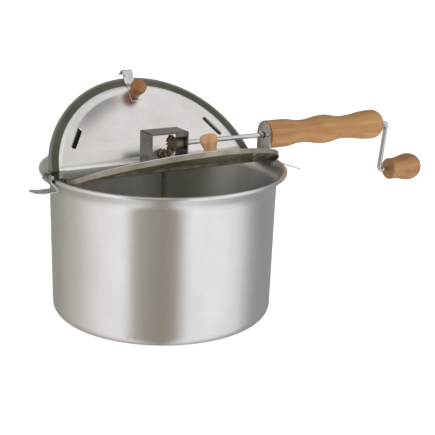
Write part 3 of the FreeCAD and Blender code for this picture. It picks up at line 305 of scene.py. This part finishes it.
dress(varnished_wood("rear_knob_wood", (0.23, 0.09, 0.02), (0.36, 0.155, 0.042),
                     (0, 0, HINGE_HEIGHT), UPRIGHT, math.radians(90)), "rear_lid_knob")
dress(varnished_wood("front_knob_wood", (0.42, 0.215, 0.085), (0.62, 0.37, 0.18),
                     (0, 0, HINGE_HEIGHT), UPRIGHT, math.radians(90)), "front_lid_knob")


# ---- studio ----

def make_floor():
    size = 12.0
    mesh = bpy.data.meshes.new("floor")
    mesh.from_pydata([(-size, -size, 0), (size, -size, 0), (size, size, 0), (-size, size, 0)],
                     [], [(0, 1, 2, 3)])
    floor = bpy.data.objects.new("floor", mesh)
    bpy.context.scene.collection.objects.link(floor)
    shade = Shade("floor_paper", Base_Color=(0.9, 0.9, 0.9), Roughness=0.9,
                  Emission_Color=(1, 1, 1), Emission_Strength=0.62)
    mesh.materials.append(shade.material)
    floor.visible_glossy = False


# Studio walls as (turn about Z in degrees, colour): two bright soft boxes, the dim room
# behind the camera, and the dim room behind the object.
WALLS = [(-180, (0.93, 0.90, 0.90)), (-158, (0.98, 0.95, 0.98)), (-147, (0.36, 0.345, 0.31)),
         (-118, (0.29, 0.26, 0.21)), (-104, (0.34, 0.31, 0.27)), (-92, (0.96, 0.97, 1.0)),
         (-60, (0.95, 0.95, 0.98)), (-34, (0.80, 0.79, 0.81)), (-18, (0.42, 0.41, 0.42)),
         (0, (0.31, 0.31, 0.32)), (60, (0.34, 0.33, 0.31)), (107, (0.32, 0.31, 0.29)),
         (128, (0.46, 0.43, 0.40)), (150, (0.62, 0.58, 0.55)), (164, (0.80, 0.77, 0.74)),
         (180, (0.93, 0.90, 0.90))]
# The upper room by turn about Z: one bright card in front of the rear lid, dim elsewhere.
UPPER = [(-180, (0.80, 0.78, 0.77)), (-130, (0.80, 0.78, 0.76)), (-95, (0.50, 0.48, 0.46)),
         (-54, (0.78, 0.75, 0.72)), (-38, (0.98, 0.96, 0.97)), (-15, (0.98, 0.97, 0.98)),
         (20, (0.45, 0.44, 0.43)), (90, (0.28, 0.27, 0.25)), (180, (0.80, 0.78, 0.77))]
ZENITH = (0.30, 0.295, 0.28)


def make_world():
    """White backdrop to the camera, and soft studio walls round the object for everything else."""
    world = bpy.data.worlds.new("studio")
    bpy.context.scene.world = world
    world.use_nodes = True
    nodes, links = world.node_tree.nodes, world.node_tree.links
    nodes.clear()
    way = nodes.new("ShaderNodeTexCoord").outputs["Generated"]
    turn = nodes.new("ShaderNodeTexGradient")
    turn.gradient_type = "RADIAL"
    links.new(way, turn.inputs["Vector"])
    split = nodes.new("ShaderNodeSeparateXYZ")
    links.new(way, split.inputs[0])

    def by_turn(colours):
        ramp = nodes.new("ShaderNodeValToRGB")
        stops = ramp.color_ramp.elements
        stops[0].position, stops[1].position = 0.0, 1.0
        for _ in colours[2:]:
            stops.new(0.5)
        for stop, (degrees, colour) in zip(stops, colours):
            stop.position = degrees / 360 + 0.5
            stop.color = (*colour, 1)
        links.new(turn.outputs["Fac"], ramp.inputs["Fac"])
        return ramp.outputs["Color"]

    def by_height(low, high, below, above):
        rise = nodes.new("ShaderNodeMapRange")
        rise.interpolation_type = "SMOOTHSTEP"
        for socket, value in zip(rise.inputs[1:5], (low, high, 0.0, 1.0)):
            socket.default_value = value
        links.new(split.outputs["Z"], rise.inputs[0])
        mixed = nodes.new("ShaderNodeMix")
        mixed.data_type = "RGBA"
        links.new(rise.outputs[0], mixed.inputs[0])
        for socket, colour in ((mixed.inputs[6], below), (mixed.inputs[7], above)):
            if isinstance(colour, tuple):
                socket.default_value = (*colour, 1)
            else:
                links.new(colour, socket)
        return mixed.outputs[2]

    room = by_height(0.42, 0.62, by_turn(WALLS), by_turn(UPPER))
    room = by_height(0.84, 0.96, room, ZENITH)
    studio, backdrop = nodes.new("ShaderNodeBackground"), nodes.new("ShaderNodeBackground")
    links.new(room, studio.inputs["Color"])
    backdrop.inputs["Color"].default_value = (1, 1, 1, 1)
    pick = nodes.new("ShaderNodeMixShader")
    links.new(nodes.new("ShaderNodeLightPath").outputs["Is Camera Ray"], pick.inputs["Fac"])
    links.new(studio.outputs[0], pick.inputs[1])
    links.new(backdrop.outputs[0], pick.inputs[2])
    links.new(pick.outputs[0], nodes.new("ShaderNodeOutputWorld").inputs["Surface"])


def soft_box(name, place, aim, size, power):
    light = bpy.data.lights.new(name, "AREA")
    light.shape, light.size, light.energy = "DISK", size, power
    lamp = bpy.data.objects.new(name, light)
    bpy.context.scene.collection.objects.link(lamp)
    lamp.location = place
    lamp.rotation_mode = "QUATERNION"
    lamp.rotation_quaternion = (Vector(aim) - Vector(place)).to_track_quat("-Z", "Y")
    lamp.visible_glossy = False


def make_camera():
    turn, down, roll = math.radians(32.02), math.radians(16.56), math.radians(1.88)
    distance, aim = 1.0976, Vector((0.06073, -0.00828, 0.09007))
    ahead = Vector((math.sin(turn) * math.cos(down), math.cos(turn) * math.cos(down),
                    -math.sin(down)))
    right = Vector((math.cos(turn), -math.sin(turn), 0))
    up = right.cross(ahead)
    across = math.cos(roll) * right + math.sin(roll) * up
    above = math.cos(roll) * up - math.sin(roll) * right
    data = bpy.data.cameras.new("camera")
    data.sensor_width = 36
    data.lens = 87.1
    camera = bpy.data.objects.new("camera", data)
    bpy.context.scene.collection.objects.link(camera)
    camera.matrix_world = Matrix((across, above, -ahead)).transposed().to_4x4()
    camera.location = aim - distance * ahead + 0.7 * MM * up - 0.4 * MM * right
    bpy.context.scene.camera = camera


make_floor()
make_world()
soft_box("front_light", (-0.5, -1.5, 0.75), (0.1, 0, 0.12), 1.2, 9)
soft_box("side_light", (1.3, -1.0, 0.5), (0.1, 0, 0.12), 0.9, 5)
make_camera()
bpy.context.scene.view_settings.view_transform = "Standard"
